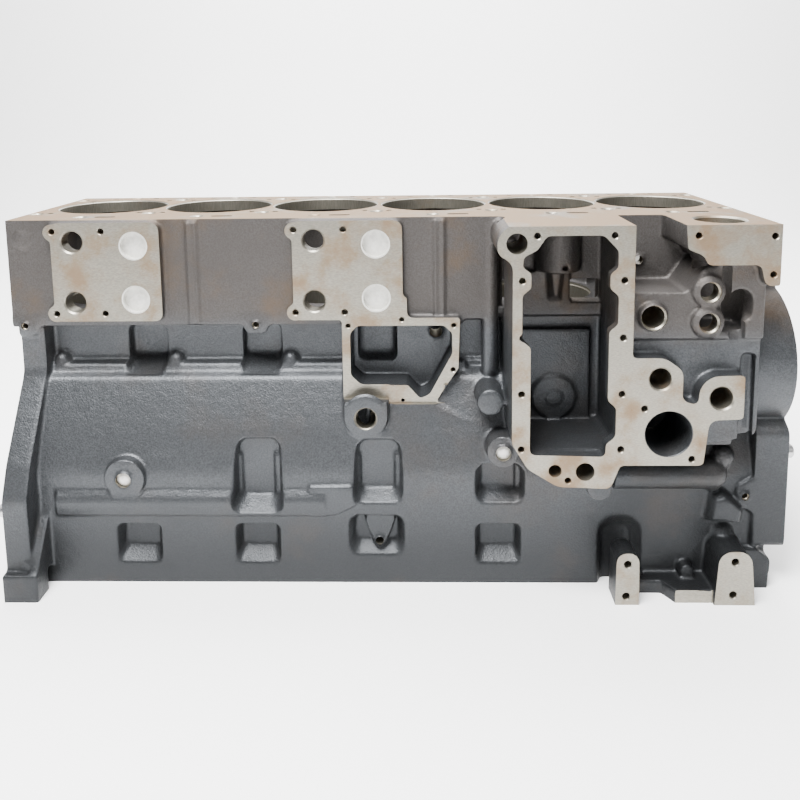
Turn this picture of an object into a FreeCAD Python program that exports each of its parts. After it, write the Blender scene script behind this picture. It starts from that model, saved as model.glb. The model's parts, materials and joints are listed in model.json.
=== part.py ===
import FreeCAD, Part
import math
import os

# Bare six-cylinder engine block with wet-liner bores, its main bearing caps, bushes, plugs and dowels.
# Millimetres. X runs along the crankshaft towards the front end, Z is up towards the deck, and the
# side with the oil cooler housing faces -Y. The origin is on the crankshaft axis at the centre bulkhead.

os.makedirs("parts", exist_ok=True)
V = FreeCAD.Vector

# Cylinders and deck
cylinders = 6
bore_pitch = 137.0
deck_height = 330.0
liner_seat_r = 65.4
liner_seat_depth = 12.0
jacket_r = 78.0
jacket_depth = 104.0
lower_seat_r = 62.6
lower_seat_depth = 26.0
seat_chamfer = 1.5
head_bolt_r = 7.0
head_bolt_depth = 90.0
head_bolt_y = (-68.0, 64.0)
edge_bolt_r = 5.5
edge_bolt_depth = 50.0
edge_bolt_y = 85.5
coolant_hole_r = 6.5
coolant_hole_y = -98.0

# Water jacket body
rear_end = -421.0
deck_front_end = 420.0
near_wall = -121.0
far_wall = 95.0
jacket_wall = 9.0
body_depth = 124.0

# Crankcase
rail_depth = 88.0
rear_overhang = 7.0
front_bulkhead_face = 424.0
front_face = 455.0
skirt_y = 158.0
skirt_wall = 11.0
mid_wall = -94.0
bulkhead_web = 24.0
bay_corner_r = 34.0
main_bore_r = 52.0
main_boss_width = 38.0
main_boss_r = 78.0

# Camshaft tunnel
cam_y = 116.0
cam_z = 112.0
bush_r = 30.0
bush_wall = 3.0
bush_length = 20.0
cam_space_r = 40.0
cam_boss_r = 50.0

# Main bearing caps and their bolts
cap_width = 34.0
cap_half_span = 80.0
cap_shoulder_drop = 50.0
cap_crown_drop = 72.0
cap_bolt_y = 65.0
cap_bolt_r = 7.0
cap_bolt_clearance = 0.6
cap_bolt_flats = 21.0
cap_bolt_head_height = 12.0
cap_bolt_reach = 56.0
sleeve_r = 9.4
sleeve_length = 16.0

# Machined pads on the seen side
pad_face = -130.0
tongue_face = -142.0
tongue_port = (-12.0, 103.0)
tongue_port_r = 11.5
cooler_face = -197.0
thread_r = 3.4
thread_depth = 18.0
port_r = 12.0
port_chamfer = 1.6
passage_face = -185.0
valley_face = -179.0
valley_top = 206.0
drum_y = -88.0
drum_z = 163.0
drum_r = 84.0
drum_recess_r = 62.0
drum_recess_depth = 34.0
pump_port = (312.0, 107.0)
pump_port_r = 24.5
filler_at = (371.0, -158.0)
filler_r = 26.0
notch_plate_face = -132.0
column_x = 131.0
side_plug_r = 16.5
side_plug_depth = 9.0
small_plug_r = 8.6
small_plug_depth = 8.0
cup_wall = 1.6
plug_recess = 0.6

# Core plugs, oil gallery and dowels
core_plug_r = 24.0
core_plug_depth = 11.0
core_plug_z = 242.0
cam_plug_r = 32.5
cam_plug_depth = 6.0
gallery_y = -124.0
gallery_z = 60.0
gallery_r = 8.0
gallery_rib_r = 18.0
gallery_plug_r = 11.0
gallery_plug_length = 14.0
socket_flats = 10.0
dowel_r = 8.0
dowel_length = 24.0
dowel_stand = 10.0

rail_z = -rail_depth
rise = deck_height / 330.0
rear_face = rear_end + rear_overhang
mid_deck_z = deck_height - body_depth
bore_x = [(i - (cylinders - 1) / 2) * bore_pitch for i in range(cylinders)]
bulkhead_x = [(i - cylinders / 2) * bore_pitch for i in range(cylinders + 1)]
main_x = [rear_face + cap_width / 2] + bulkhead_x[1:-1] + [front_bulkhead_face - cap_width / 2]
bays = list(zip(main_x[:-1], main_x[1:]))
pad_x = (bore_x[0], bore_x[2])
side_plug_z = (301.0, 239.0)
foot_holes = ((273.0, -41.0), (272.0, -78.0), (388.0, -38.0), (387.0, -76.0))
small_plugs = ((-285.0, -164.0, 40.0), (141.0, -168.0, 73.0))


def level(z):
    """The height of a feature above the crankshaft axis, which follows the deck height."""
    return z * rise if z > 0 else z


def block(x0, x1, y0, y1, z0, z1):
    """A box between two corners."""
    return Part.makeBox(x1 - x0, y1 - y0, z1 - z0, V(x0, y0, z0))


def rod(r, start, end):
    """A round bar between two points."""
    a, b = V(*start), V(*end)
    return Part.makeCylinder(r, (b - a).Length, a, b - a)


def cone(r0, r1, start, end):
    """A tapered round bar between two points."""
    a, b = V(*start), V(*end)
    return Part.makeCone(r0, r1, (b - a).Length, a, b - a)


def bar(r, x, z, y0, y1):
    """A round bar along Y on the seen side, at a height that follows the deck."""
    return rod(r, (x, y0, level(z)), (x, y1, level(z)))


def ball(r, x, y, z):
    """A round swelling on the seen side, at a height that follows the deck."""
    return Part.makeSphere(r, V(x, y, level(z)))


def rounded_rect(u0, u1, v0, v1, r):
    """Corner points of a rectangle with one corner radius."""
    return [(u0, v0, r), (u1, v0, r), (u1, v1, r), (u0, v1, r)]


def outline(points, axis, at):
    """A closed wire through (u, v, corner radius) points, in the plane square to an axis."""
    place = {
        "x": lambda u, v: V(at, u, v),
        "y": lambda u, v: V(u, at, v),
        "z": lambda u, v: V(u, v, at),
    }[axis]
    ends, arcs, turns, reaches = [], [], [], []
    count = len(points)
    corners = [V(u, v, 0) for u, v, _ in points]
    sides = [corners[(i + 1) % count] - corners[i] for i in range(count)]
    for i, (_, _, r) in enumerate(points):
        turns.append(math.pi - sides[i - 1].negative().getAngle(sides[i]))
        reaches.append(r * math.tan(turns[i] / 2) if r > 0 and turns[i] >= 0.01 else 0)
    room = []
    for i in range(count):
        wanted = reaches[i] + reaches[(i + 1) % count]
        room.append(min(1, 0.98 * sides[i].Length / wanted) if wanted > sides[i].Length else 1)
    for i, p in enumerate(corners):
        before, after = sides[i - 1].negative(), sides[i]
        turn = turns[i]
        if reaches[i] == 0:
            ends.append((p, p))
            arcs.append(None)
            continue
        reach = reaches[i] * min(room[i - 1], room[i])
        r = reach / math.tan(turn / 2)
        before.normalize()
        after.normalize()
        middle = before + after
        middle.normalize()
        tip = p + middle * (r / math.cos(turn / 2) - r)
        ends.append((p + before * reach, p + after * reach))
        arcs.append(tip)
    edges = []
    for i in range(count):
        start, end = ends[i]
        if arcs[i] is not None:
            edges.append(Part.Arc(place(*start[:2]), place(*arcs[i][:2]), place(*end[:2])).toShape())
        following = ends[(i + 1) % count][0]
        if (following - end).Length > 1e-4:
            edges.append(Part.makeLine(place(*end[:2]), place(*following[:2])))
    return Part.Wire(edges)


def at_level(points):
    """The same outline points with their heights following the deck."""
    return [(u, level(z), r) for u, z, r in points]


def prism(points, axis, a, b):
    """A straight extrusion of a rounded outline between two stations on an axis."""
    run = {"x": V(b - a, 0, 0), "y": V(0, b - a, 0), "z": V(0, 0, b - a)}[axis]
    return Part.Face(outline(points, axis, a)).extrude(run)


def tapered(mouth, floor, axis, a, b):
    """A drafted recess or boss between a mouth outline and a floor outline."""
    return Part.makeLoft([outline(mouth, axis, a), outline(floor, axis, b)], True, True)


def drafted_pocket(x0, x1, z0, z1, y_open, y_floor, r, draft_x, draft_low, draft_top):
    """A cast pocket in a side wall, with sloping ends and a sloping sill."""
    mouth = rounded_rect(x0, x1, z0, z1, r)
    floor = rounded_rect(x0 + draft_x, x1 - draft_x, z0 + draft_low, z1 - draft_top, r)
    return tapered(at_level(mouth), at_level(floor), "y", y_open, y_floor)


def drilled(x, z, face, depth, r):
    """A drilled hole in a face that looks towards -Y, with its countersink."""
    start = (x, face - 1, z)
    hole = rod(r, start, (x, face + depth, z))
    sink = cone(r + 1.8, r, start, (x, face + 0.8, z))
    return hole.fuse(sink)


def tapped(x, z, face, depth=thread_depth, r=thread_r):
    """A drilled hole on the seen side, at a height that follows the deck."""
    return drilled(x, level(z), face, depth, r)


def port(x, z, face, depth, r=port_r):
    """A threaded passage in a side face, with a wide chamfer."""
    start = (x, face - 1, level(z))
    hole = rod(r, start, (x, face + depth, level(z)))
    sink = cone(r + port_chamfer + 1, r, start, (x, face + port_chamfer, level(z)))
    return hole.fuse(sink)


def union(shapes):
    """One shape from several."""
    return shapes[0].fuse(shapes[1:]) if len(shapes) > 1 else shapes[0]


# Cast form of the crankcase and the water jacket body
def crankcase_form():
    """The crankcase section along the block: skirt, shoulder bulge, cam side and sloping walls."""
    top = (mid_deck_z + 10) / rise
    section = [
        (-skirt_y, rail_z, 0),
        (-skirt_y, 44, 70),
        (-143, 86, 60),
        (-118, 143, 12),
        (-108, 147, 6),
        (-106, 155, 7),
        (mid_wall, 158, 6),
        (mid_wall, top, 0),
        (far_wall - 4, top, 0),
        (far_wall - 4, 176, 14),
        (cam_y + 30, cam_z + 46, 24),
        (cam_y + cam_boss_r, cam_z + 14, 30),
        (cam_y + cam_boss_r - 2, cam_z - 34, 30),
        (skirt_y, 40, 30),
        (skirt_y, rail_z, 0),
    ]
    return prism(at_level(section), "x", rear_face, front_bulkhead_face)


def rear_flange():
    """The flywheel housing flange, which flares out towards the rail."""
    near = [(-186, rail_z, 0), (-187, 24, 30), (-172, 60, 40), (-118, 150, 30), (-118, 214, 0)]
    far = [(118, 214, 0), (150, 160, 30), (180, 60, 40), (187, 24, 30), (186, rail_z, 0)]
    plate = prism(at_level(near + far), "x", rear_face, rear_face + 27)
    feet = []
    for side in (-1, 1):
        y0, y1 = sorted((side * (-cooler_face), side * 170))
        feet.append(block(rear_face, rear_face + 38, y0, y1, rail_z, rail_z + 31))
        foot_web = [(side * 195, rail_z + 30, 0), (side * 155, 4, 0), (side * 150, rail_z + 20, 0)]
        feet.append(prism(foot_web, "x", rear_face + 28, rear_face + 38))
        feet.append(rod(11, (rear_face + 25, side * 178, rail_z + 30), (rear_face + 25, side * 178, rail_z + 42)))
    return [plate] + feet


def front_plate():
    """The gear housing flange at the front end, with its round drum."""
    face = [
        (-163, -42, 8),
        (-163, 24, 0),
        (-163, 94, 12),
        (-110, 130, 0),
        (-110, 262, 10),
        (84, 262, 12),
        (150, 205, 40),
        (172, 130, 40),
        (172, -42, 8),
    ]
    lower = [(-152, rail_z, 0), (-152, -40, 0), (160, -40, 0), (160, rail_z, 0)]
    drum = rod(drum_r, (400, drum_y, level(drum_z)), (front_face, drum_y, level(drum_z)))
    rear_edge = [e for e in drum.Edges if abs(e.CenterOfMass.x - 400) < 0.1 and e.Closed]
    strip_ear = [(400, 30, 9), (400, 10, 9), (424, -4, 0), (424, 44, 0)]
    return [
        prism(at_level(face), "x", 419, front_face),
        prism(lower, "x", 419, front_face - 16),
        prism(at_level(strip_ear), "y", -163, -140),
        drum.makeFillet(22, rear_edge),
    ]


def cooler_housing():
    """The oil cooler housing and the port block beside it."""
    edge = [
        (147, 292, 14),
        (131, 300, 12),
        (131, 331, 20),
        (272, 331, 2),
        (272, 190, 2),
        (262, 72, 2),
        (252, 46, 8),
        (196, 48, 24),
        (164, 68, 20),
        (147, 96, 10),
    ]
    pump_plate = [
        (258, 190, 0),
        (306, 190, 20),
        (325, 176, 14),
        (325, 143, 8),
        (342, 139, 5),
        (342, 170, 22),
        (389, 171, 3),
        (389, 123, 3),
        (354, 122, 10),
        (349, 72, 4),
        (258, 72, 0),
    ]
    passage = [
        (262, 257, 0),
        (330, 257, 8),
        (348, 284, 12),
        (412, 288, 4),
        (412, valley_top, 0),
        (262, valley_top, 0),
    ]
    valley = [(262, valley_top + 2, 0), (412, valley_top + 2, 0), (412, 96, 12), (262, 72, 0)]
    end_pad = [
        (322, 331, 0),
        (322, 306, 4),
        (342, 298, 10),
        (346, 288, 6),
        (400, 288, 6),
        (405, 266, 8),
        (deck_front_end, 266, 2),
        (deck_front_end, 331, 0),
    ]
    return [
        prism(at_level(edge), "y", cooler_face, mid_wall + 4),
        prism(at_level(pump_plate), "y", cooler_face, -120),
        prism(at_level(passage), "y", passage_face, -110),
        prism(at_level(valley), "y", valley_face, -110),
        prism(at_level(end_pad), "y", cooler_face, near_wall + 6),
    ]


def port_bosses():
    """Round castings around the ports beside the oil cooler, and the humps below them."""
    shapes = [
        bar(15, 294, 232, passage_face - 6, -130),
        bar(17, 351, 259, passage_face - 7, -130),
        bar(17, 351, 226, passage_face - 7, -130),
        bar(14, 242, 44, cooler_face + 4, -150),
        rod(17, (262, -160, level(46)), (372, -160, level(46))),
        ball(17, 372, -160, 46),
        prism(at_level(rounded_rect(358, 392, 80, 112, 6)), "y", -166, -130),
        ball(12, 386, -156, 64),
        ball(10, 372, -162, 36),
        ball(13, 388, -154, -26),
        rod(8, (346, -172, -66), (346, -150, -66)),
    ]
    hump_foot = [(362, -10, 0), (368, 26, 0), (384, 32, 0), (412, 8, 0), (410, -16, 0)]
    hump_top = [(372, -3, 0), (375, 19, 0), (385, 22, 0), (402, 8, 0), (400, -6, 0)]
    shapes.append(tapered(at_level(hump_foot), at_level(hump_top), "y", -150, -174))
    return shapes


def column_and_bosses():
    """Round castings on the seen side: the column, plug bosses, drain columns and dipstick tongue."""
    column = rod(10, (column_x, -112, level(150)), (column_x, -112, deck_height - 2))
    disc_boss, plug_boss = [bar(r, x, z, y, -120) for r, (x, y, z) in zip((23, 18), small_plugs)]
    tongue = prism(at_level([(-37, 82, 24), (14, 82, 24), (14, 140, 0), (-37, 140, 0)]), "y", tongue_face, -100)
    shapes = [column, ball(10, column_x, -112, 150), bar(15, 128, 127, -160, -100), plug_boss, disc_boss, tongue]
    for x in bulkhead_x[:4]:
        shapes.append(rod(10, (x + 34, mid_wall - 2, level(140)), (x + 34, mid_wall - 2, level(158))))
        shapes.append(ball(10, x + 34, mid_wall - 2, 158))
    shapes.append(bar(9, -403, 308, near_wall - 2, near_wall + 4))
    return shapes


def side_pads():
    """The two water header pads, the window pad and the ears below the wall."""
    shapes = []
    for x in pad_x:
        pad = [
            (x - 24, 214, 8),
            (x + 100, 214, 8),
            (x + 100, 328, 10),
            (x - 24, 328, 9),
        ]
        shapes.append(prism(at_level(pad), "y", pad_face, near_wall + 4))
        for z in (223, 317):
            shapes.append(bar(9.5, x - 22.5, z, pad_face, near_wall + 4))
    window = [
        (-38, 214, 0),
        (-38, 123, 2),
        (15, 122, 6),
        (24, 113, 8),
        (60, 113, 8),
        (68, 118, 4),
        (94, 157, 3),
        (96, 216, 2),
        (36, 216, 6),
        (36, 240, 0),
        (-20, 240, 0),
    ]
    shapes.append(prism(at_level(window), "y", pad_face, -84))
    for x in (-405, -138):
        top, foot = mid_deck_z + 12, mid_deck_z - 11
        ear = [(x - 18, top, 0), (x - 12, foot, 9), (x + 12, foot, 9), (x + 18, top, 0)]
        shapes.append(prism(ear, "y", near_wall - 1, near_wall + 14))
    for x in (-208, 73):
        for side in (-4, 4):
            rib_foot, rib_top = level(208), deck_height - 3
            shapes.append(rod(3, (x + side, near_wall - 0.5, rib_foot), (x + side, near_wall - 0.5, rib_top)))
    return shapes


def oil_bead():
    """The rolled bead above the ledge on the rear half of the skirt."""
    bead = [(-146, 36, 0), (-152, 34, 12), (-167, 15, 14), (-162, -7, 8), (-146, -7, 0)]
    run = prism(at_level(bead), "x", rear_face + 48, -58)
    tail = [(-76, -7, 4), (-46, -4, 20), (-22, 8, 8), (-22, 30, 0), (-76, 30, 0)]
    return [run, prism(at_level(tail), "y", -162, -140)]


def corner_feet():
    """The two bracket feet at the front lower corner and the shelf between them."""
    rear_foot = [(260, rail_z, 0), (286, rail_z, 0), (285, -28, 11), (261, -28, 11)]
    front_foot = [(367, rail_z, 0), (411, rail_z, 0), (405, -26, 15), (371, -26, 15)]
    shelf = [(280, -176, 0), (316, -176, 0), (328, -193, 0), (380, -193, 0), (380, -140, 0), (280, -140, 0)]
    corner = [(392, rail_z, 0), (438, rail_z, 0), (440, -54, 6), (424, -42, 6), (392, -42, 0)]
    return [
        prism(rear_foot, "y", cooler_face, -140),
        prism(front_foot, "y", cooler_face, -140),
        prism(shelf, "z", rail_z, rail_z + 15),
        prism(corner, "y", -166, -130),
    ]


def far_side():
    """Ribs, bosses and pads on the camshaft side."""
    shapes = []
    for x in bulkhead_x[1:-1]:
        shapes.append(block(x - 5, x + 5, far_wall - 4, far_wall + 5, mid_deck_z - 20, deck_height - 14))
        shapes.append(rod(13, (x, far_wall, mid_deck_z + 4), (x, far_wall + 9, mid_deck_z + 4)))
        shapes.append(prism([(skirt_y - 4, 40, 0), (skirt_y + 7, 24, 6), (skirt_y + 7, -56, 6), (skirt_y - 4, -70, 0)],
                            "x", x - 6, x + 6))
    for x in bore_x:
        shapes.append(bar(core_plug_r + 7, x, core_plug_z, far_wall - 4, far_wall + 4))
    pump_pad = rounded_rect(-330, -214, 24, 96, 14)
    shapes.append(prism(pump_pad, "y", 140, 176))
    shapes.append(block(rear_face + 27, front_bulkhead_face, skirt_y - 4, skirt_y + 5, rail_z, rail_z + 16))
    return shapes


# Hollows and machined features of the casting
def bay_hollow(rear, front):
    """One crankcase bay between two bulkheads, with its corners rounded into them."""
    inner = skirt_y - skirt_wall
    section = [
        (-inner, rail_z - 1, 0),
        (-inner, 34, 60),
        (-inner + 18, 80, 40),
        (-80, 120, 16),
        (-70, 150, 16),
        (70, 150, 16),
        (inner - 20, 92, 50),
        (inner, 34, 60),
        (inner, rail_z - 1, 0),
    ]
    start = rear + bulkhead_web / 2
    end = front - bulkhead_web / 2
    room = prism(at_level(section), "x", start, end)
    plan = rounded_rect(start, end, -inner - 1, inner + 1, bay_corner_r)
    return room.common(prism(plan, "z", rail_z - 2, level(160)))


def main_boss(x):
    """The widened ring of metal around one main bearing."""
    ring = [(-main_boss_r - 8, -1, 0), (-main_boss_r - 8, 20, 20), (-52, 78, 30), (52, 78, 30),
            (main_boss_r + 8, 20, 20), (main_boss_r + 8, -1, 0)]
    return prism(ring, "x", x - main_boss_width / 2, x + main_boss_width / 2)


def cylinder_hollow(x):
    """Liner seats, water jacket and lower bore of one cylinder, as one turned profile."""
    top = deck_height
    ledge = top - liner_seat_depth
    floor = ledge - jacket_depth
    seat_end = mid_deck_z - lower_seat_depth + 4
    profile = [
        (0, top + 1),
        (liner_seat_r + seat_chamfer + 1, top + 1),
        (liner_seat_r, top - seat_chamfer),
        (liner_seat_r, ledge),
        (jacket_r, ledge),
        (jacket_r, floor),
        (lower_seat_r + seat_chamfer, floor),
        (lower_seat_r, floor - seat_chamfer),
        (lower_seat_r, seat_end),
        (lower_seat_r + 3, seat_end),
        (lower_seat_r + 3, 100),
        (0, 100),
    ]
    wire = Part.makePolygon([V(x + r, 0, z) for r, z in profile + profile[:1]])
    return Part.Face(wire).revolve(V(x, 0, 0), V(0, 0, 1), 360)


def jacket_posts():
    """Metal left standing in the water jacket around the head bolts."""
    shapes = []
    floor = deck_height - liner_seat_depth - jacket_depth
    for x in bulkhead_x:
        for y in head_bolt_y:
            shapes.append(rod(13, (x, y, floor - 2), (x, y, deck_height - liner_seat_depth + 2)))
    return shapes


def header_hollow():
    """The coolant header between the liners and the seen-side wall."""
    floor = deck_height - liner_seat_depth - jacket_depth
    ceiling = deck_height - liner_seat_depth
    return block(rear_end + 16, deck_front_end - 16, near_wall + jacket_wall, -40, floor, ceiling)


def cooler_room(wall):
    """The space of the oil cooler cavity, grown by a wall thickness."""
    edge = rounded_rect(160 - wall, 262 + wall, level(84) - wall, level(321) + wall, 8)
    return prism(edge, "y", cooler_face + 14, mid_wall + wall)


def deck_hole(r, x, y, depth):
    """A drilled hole in the deck, with its countersink."""
    top = deck_height
    hole = rod(r, (x, y, top + 1), (x, y, top - depth))
    return hole.fuse(cone(r + 2.5, r, (x, y, top + 1), (x, y, top - 1.5)))


def deck_drilling():
    """Head bolt holes, coolant holes and slots in the deck."""
    top = deck_height
    tools = [deck_hole(head_bolt_r, x, y, head_bolt_depth) for x in bulkhead_x for y in head_bolt_y]
    tools += [deck_hole(edge_bolt_r, x, edge_bolt_y, edge_bolt_depth) for x in bore_x]
    tools += [deck_hole(coolant_hole_r, x - 2, coolant_hole_y, liner_seat_depth + 4) for x in bore_x]
    for x in bore_x:
        for dx, dy in ((-30, 84), (26, 84), (-52, 60), (52, 60), (-54, -62), (54, -60)):
            tools.append(rod(3.6, (x + dx, dy, top + 1), (x + dx, dy, top - liner_seat_depth - 4)))
        slot = rounded_rect(x + 14, x + 40, -101, -94, 3.4)
        tools.append(prism(slot, "z", top - liner_seat_depth - 4, top + 1))
    x, y = filler_at
    tools.append(rod(filler_r, (x, y, top + 1), (x, y, level(214))))
    tools.append(cone(filler_r + 3, filler_r, (x, y, top + 1), (x, y, top - 2)))
    tools.append(rod(4.5, (142, -130, top + 1), (142, -130, top - 30)))
    return tools


def pad_drilling():
    """Holes in the two water header pads."""
    tools = []
    for x in pad_x:
        for dx, z in ((-22, 318), (34, 318), (-22, 223), (34, 223)):
            tools.append(tapped(x + dx, z, pad_face, 14))
        for z in (306, 236):
            tools.append(port(x, z, pad_face, 40))
        for z in side_plug_z:
            tools.append(bar(side_plug_r, x + 70, z, pad_face - 1, pad_face + 30))
    for x in (-406, -138):
        tools.append(drilled(x, mid_deck_z + 1, near_wall - 1, 14, thread_r))
    for x, y, z in small_plugs:
        tools.append(bar(small_plug_r, x, z, y - 1, y + small_plug_depth + 2))
    for x in bore_x:
        tools.append(bar(core_plug_r, x, core_plug_z, 60, far_wall + 5))
    return tools


def window_cutting():
    """The side window, its threaded holes and the dipstick hole."""
    opening = [
        (-29, 198, 3),
        (-21, 207, 3),
        (78, 207, 3),
        (87, 198, 3),
        (87, 174, 3),
        (61, 126, 8),
        (50, 121, 4),
        (36, 137, 3),
        (-17, 137, 3),
        (-29, 149, 3),
    ]
    tools = [prism(at_level(opening), "y", pad_face - 1, mid_wall + 2)]
    tools.append(drafted_pocket(-22, 23, 150, 208, mid_wall - 2, -78, 8, 4, 10, 2))
    for x, z in ((-31, 207), (30, 214), (89, 207), (88, 155), (-31, 134), (30, 119)):
        tools.append(tapped(x, z, pad_face, 12, 2.6))
    tools.append(bar(7.5, 69, 190, -110, -60))
    x, z = tongue_port
    tools.append(rod(tongue_port_r, (x, tongue_face - 4, level(z)), (x, -80, level(z) - 10)))
    tools.append(cone(tongue_port_r + 2, tongue_port_r, (x, tongue_face - 1, level(z)),
                      (x, tongue_face + 2, level(z) - 0.5)))
    return tools


def cooler_back_wall():
    """What stands out of the cavity's back wall: the hanging boss, its rib, the ledges and the disc."""
    wall = mid_wall
    hanging = rod(26, (211, wall - 2, level(263)), (211, wall - 2, level(330)))
    rib = tapered(at_level([(194, 264, 0), (220, 264, 0), (216, 222, 0), (196, 222, 0)]),
                  at_level([(202, 262, 0), (212, 262, 0), (209, 236, 0), (205, 236, 0)]), "y", wall, wall - 18)
    band = prism(at_level([(150, 262, 0), (225, 262, 3), (225, 252, 0), (260, 252, 0), (260, 228, 0), (225, 228, 0),
                           (225, 226, 0), (260, 226, 0), (260, 209, 0), (150, 209, 0)]), "y", wall, wall - 6)
    panel = prism(at_level([(150, 194, 0), (249, 194, 3), (249, 84, 0), (150, 84, 0)]), "y", wall, wall - 7)
    disc = bar(26, 207, 112, wall - 11, wall)
    centre = bar(9, 207, 112, wall - 13, wall)
    return [hanging, rib, band, panel, disc, centre]


def cooler_cutting():
    """The oil cooler cavity, its flange holes and the ports beside it."""
    face = cooler_face
    cavity = [
        (182, 320, 6),
        (240, 320, 8),
        (255, 304, 8),
        (255, 286, 4),
        (247, 280, 4),
        (247, 264, 4),
        (256, 257, 5),
        (256, 226, 5),
        (247, 219, 4),
        (247, 144, 4),
        (256, 136, 5),
        (256, 104, 8),
        (246, 96, 5),
        (246, 82, 5),
        (166, 84, 5),
        (166, 202, 4),
        (157, 209, 4),
        (157, 258, 4),
        (166, 265, 4),
        (166, 281, 4),
        (157, 287, 4),
        (158, 298, 5),
        (172, 305, 6),
    ]
    tools = [cooler_room(0).cut(cooler_back_wall())]
    tools.append(prism(at_level(cavity), "y", face - 1, face + 15))
    tools.append(block(225, 260, -101, -62, level(228), level(252)))
    tools.append(bar(3.2, 215.5, 270, -135, -110))
    for z in (273, 212, 151, 90):
        tools.append(tapped(157, z, face))
        tools.append(tapped(262, z, face))
    for x, z in ((172, 320), (251, 320), (207, 55), (286, 135), (337, 79)):
        tools.append(tapped(x, z, face))
    tools.append(bar(11, 151, 312, face - 1, -125))
    tools.append(bar(7, 193, 66, face - 1, -150))
    tools.append(bar(10, 225, 65, face - 1, -150))
    px, pz = pump_port
    tools.append(bar(pump_port_r, px, pz, face - 1, -120))
    tools.append(cone(pump_port_r + 2, pump_port_r, (px, face - 1, level(pz)), (px, face + 1, level(pz))))
    tools.append(port(302, 167, face, 60, 11.5))
    tools.append(port(366, 146, face, 60, 12))
    tools.append(port(294, 232, passage_face - 6, 60, 12))
    tools.append(port(351, 259, passage_face - 7, 50, 9.5))
    tools.append(port(351, 226, passage_face - 7, 50, 9.5))
    for x, z in ((336, 319), (413, 318), (413, 278)):
        tools.append(tapped(x, z, face))
    return tools


def notch_cutting():
    """The open notch between the cooler housing and the front corner, and the slots near the drum."""
    mouth = [(272, 340, 0), (272, 257, 6), (330, 257, 10), (347, 283, 8), (325, 306, 3), (322, 340, 0)]
    plate = [(260, 297, 0), (325, 298, 8), (344, 282, 10), (332, 262, 6), (260, 260, 0)]
    notch = prism(at_level(mouth), "y", cooler_face - 1, near_wall).cut([
        prism(at_level(plate), "y", notch_plate_face, near_wall),
        prism(at_level(rounded_rect(260, 324, 292, 350, 10)), "y", notch_plate_face + 6, near_wall),
        bar(16, 296, 279.5, notch_plate_face - 3, near_wall),
    ])
    notch_hole = bar(5, 296, 279.5, notch_plate_face - 4, -100)
    slot = tapered(at_level(rounded_rect(374, 399, 224, 260, 12)), at_level(rounded_rect(378, 396, 229, 256, 8.9)),
                   "y", passage_face - 1, passage_face + 24)
    slot_foot = prism(at_level(rounded_rect(375, 392, 205, 226, 5)), "y", passage_face - 1, passage_face + 8)
    gutter = tapered(at_level([(389, 196, 6), (402, 196, 6), (402, 62, 0), (389, 62, 0)]),
                     at_level([(393, 186, 4), (409, 186, 4), (409, 62, 0), (393, 62, 0)]),
                     "y", cooler_face - 2, -168)
    arch = tapered(rounded_rect(246, 302, -120, 4, 24), rounded_rect(256, 290, -120, -22, 15), "y", -165, -146)
    return [notch, notch_hole, slot, slot_foot, gutter, arch]


def column_recess():
    """The hollow corner beside the column, between the upper wall and the cooler housing."""
    upper = prism([(124, -125, 0), (147, -125, 0), (147, -102, 0), (124, -102, 8)], "z", level(146), deck_height - 12)
    mouth = rounded_rect(98, 147, level(138), mid_deck_z + 7, 6)
    floor = rounded_rect(104, 147, level(150), mid_deck_z + 4, 6)
    lower = tapered(mouth, floor, "y", -130, -100)
    column = [rod(10, (column_x, -112, level(140)), (column_x, -112, deck_height)), bar(15, 128, 127, -160, -100)]
    return union([upper, lower]).cut(column)


def wall_pockets():
    """The drafted pockets at the bulkheads, in three rows."""
    tools = []
    for x in bulkhead_x[1:4]:
        tools.append(drafted_pocket(x - 25, x + 25, 142, 201, mid_wall - 20, mid_wall + 14, 9, 3, 18, 1))
    for x in (bulkhead_x[1], bulkhead_x[2], bulkhead_x[4]):
        tools.append(drafted_pocket(x - 27, x + 27, -66, -17, -skirt_y - 2, -skirt_y + 17, 7, 7, 16, 2))
    lug = [(-16, -8, 5), (-2, -46, 6), (8, -46, 6), (22, -8, 5)]
    bowl = tapered(rounded_rect(-35, 33, -56, -5, 14), rounded_rect(-25, 23, -42, -10, 9), "y",
                   -skirt_y - 2, -skirt_y + 15)
    tools.append(bowl.cut(prism(lug, "y", -skirt_y + 3, -skirt_y + 20)))
    tools.append(rod(4.6, (2.5, -skirt_y - 2, -37), (2.5, -skirt_y + 30, -37)))
    tops = {bulkhead_x[2]: (-5, 84), bulkhead_x[3]: (3, 82), bulkhead_x[4]: (3, 56)}
    for x, (low, high) in tops.items():
        tools.append(drafted_pocket(x - 29, x + 33, low, high, -skirt_y - 12, -skirt_y + 21, 12, 8, 15, 5))
    return tools


def crank_cutting():
    """The main bearing line, the cap registers, the cap bolt holes and the seal openings."""
    tools = [rod(main_bore_r, (rear_face - 1, 0, 0), (front_face + 1, 0, 0))]
    reach = cap_half_span
    tools.append(block(rear_face - 1, front_face + 1, -reach, reach, rail_z - 1, 0))
    for x in main_x:
        for y in (-cap_bolt_y, cap_bolt_y):
            tools.append(rod(cap_bolt_r, (x, y, -1), (x, y, cap_bolt_reach + 4)))
            tools.append(rod(sleeve_r, (x, y, -1), (x, y, sleeve_length / 2)))
        tools.append(rod(4, (x, gallery_y, gallery_z), (x, -main_bore_r / 2, main_bore_r / 2)))
    tools.append(rod(gallery_r, (rear_face - 1, gallery_y, gallery_z), (front_face + 1, gallery_y, gallery_z)))
    for face, away in ((rear_face, -1), (front_face, 1)):
        mouth = (face + away, gallery_y, gallery_z)
        tools.append(rod(gallery_plug_r, mouth, (face - away * gallery_plug_length, gallery_y, gallery_z)))
    return tools


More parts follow.
